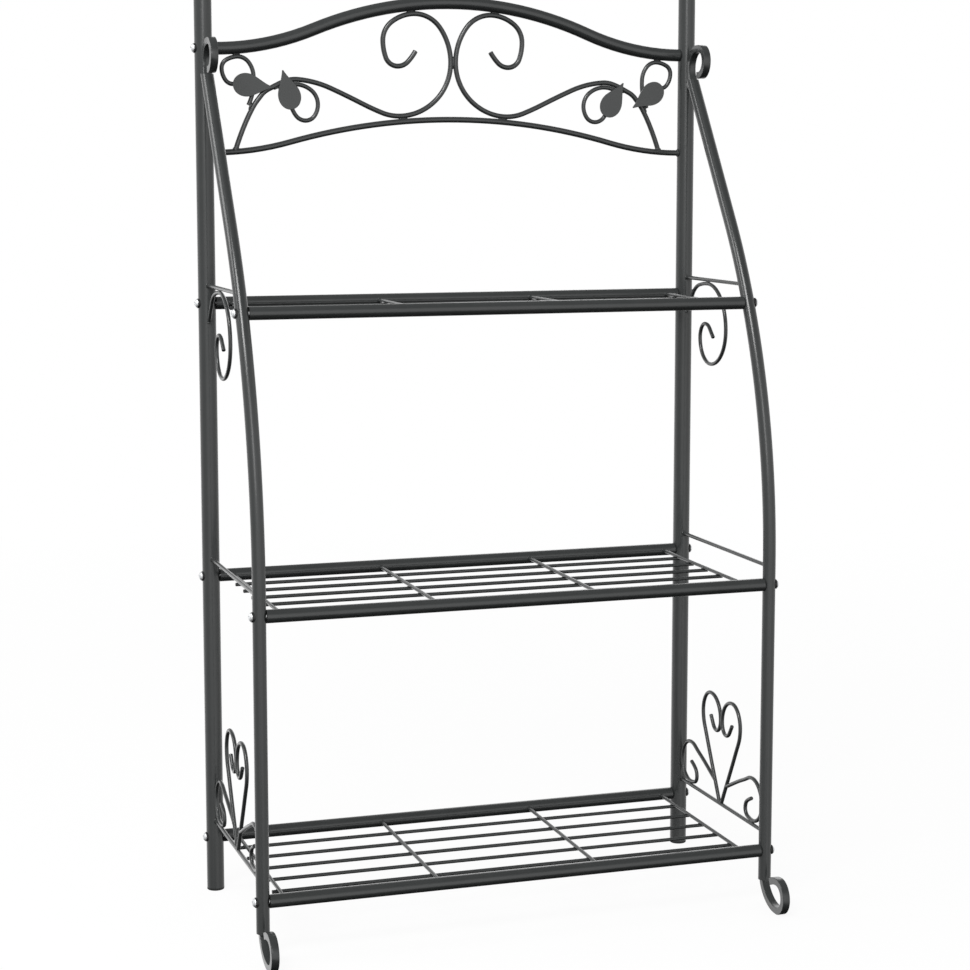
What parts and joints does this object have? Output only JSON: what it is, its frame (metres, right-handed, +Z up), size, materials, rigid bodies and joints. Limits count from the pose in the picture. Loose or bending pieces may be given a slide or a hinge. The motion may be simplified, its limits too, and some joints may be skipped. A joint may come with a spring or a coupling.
{
  "type": "tiered plant stand",
  "caption": "Metal plant stand with wire shelves in tiers between upright rear posts and curved front legs, with an arched scroll-work back panel and heart-shaped side scrolls.",
  "frame": {"origin": "on the floor under the middle of the stand's bounding box", "axes": "+Z up, -Y to the front where the legs and the open side are, +X to the right as seen from the front"},
  "size_m": [0.676, 0.3516, 1.158],
  "materials": {
    "graphite_coat": "anthracite powder coat, satin",
    "leaf_coat": "anthracite powder coat on flat plate, satin",
    "black_plastic": "moulded, matt black",
    "zinc_steel": "bright zinc plate",
    "insert_steel": "turned steel, hidden in the tubes"
  },
  "bodies": {
    "root": {"rear_post_left": "graphite_coat", "front_leg_left": "graphite_coat", "leg_top_curl_left": "graphite_coat", "foot_curl_left": "graphite_coat", "side_scroll_left": "graphite_coat", "back_scroll_left": "graphite_coat", "upper_curl_left": "graphite_coat", "inner_curl_left": "graphite_coat", "heart_front_half_left": "graphite_coat", "heart_front_curl_left": "graphite_coat", "heart_rear_half_left": "graphite_coat", "heart_rear_curl_left": "graphite_coat", "side_rod_bottom_left": "graphite_coat", "side_rod_middle_left": "graphite_coat", "side_rod_top_left": "graphite_coat", "upper_leaf_left": "leaf_coat", "inner_leaf_left": "leaf_coat", "post_cap_left": "black_plastic", "rear_foot_plug_left": "black_plastic", "rear_post_right": "graphite_coat", "front_leg_right": "graphite_coat", "leg_top_curl_right": "graphite_coat", "foot_curl_right": "graphite_coat", "side_scroll_right": "graphite_coat", "back_scroll_right": "graphite_coat", "upper_curl_right": "graphite_coat", "inner_curl_right": "graphite_coat", "heart_front_half_right": "graphite_coat", "heart_front_curl_right": "graphite_coat", "heart_rear_half_right": "graphite_coat", "heart_rear_curl_right": "graphite_coat", "side_rod_bottom_right": "graphite_coat", "side_rod_middle_right": "graphite_coat", "side_rod_top_right": "graphite_coat", "upper_leaf_right": "leaf_coat", "inner_leaf_right": "leaf_coat", "post_cap_right": "black_plastic", "rear_foot_plug_right": "black_plastic", "shelf_bottom_front_tube": "graphite_coat", "shelf_bottom_rear_tube": "graphite_coat", "shelf_bottom_cross_wires": "graphite_coat", "shelf_bottom_long_wires": "graphite_coat", "shelf_middle_front_tube": "graphite_coat", "shelf_middle_rear_tube": "graphite_coat", "shelf_middle_cross_wires": "graphite_coat", "shelf_middle_long_wires": "graphite_coat", "shelf_top_front_tube": "graphite_coat", "shelf_top_rear_tube": "graphite_coat", "shelf_top_cross_wires": "graphite_coat", "shelf_top_long_wires": "graphite_coat", "arch_rail": "graphite_coat", "lower_arch_rod": "graphite_coat", "post_bolts": "zinc_steel", "leg_bolts": "zinc_steel", "post_washers": "black_plastic", "leg_washers": "black_plastic", "tube_inserts": "insert_steel"}
  },
  "joints": []
}
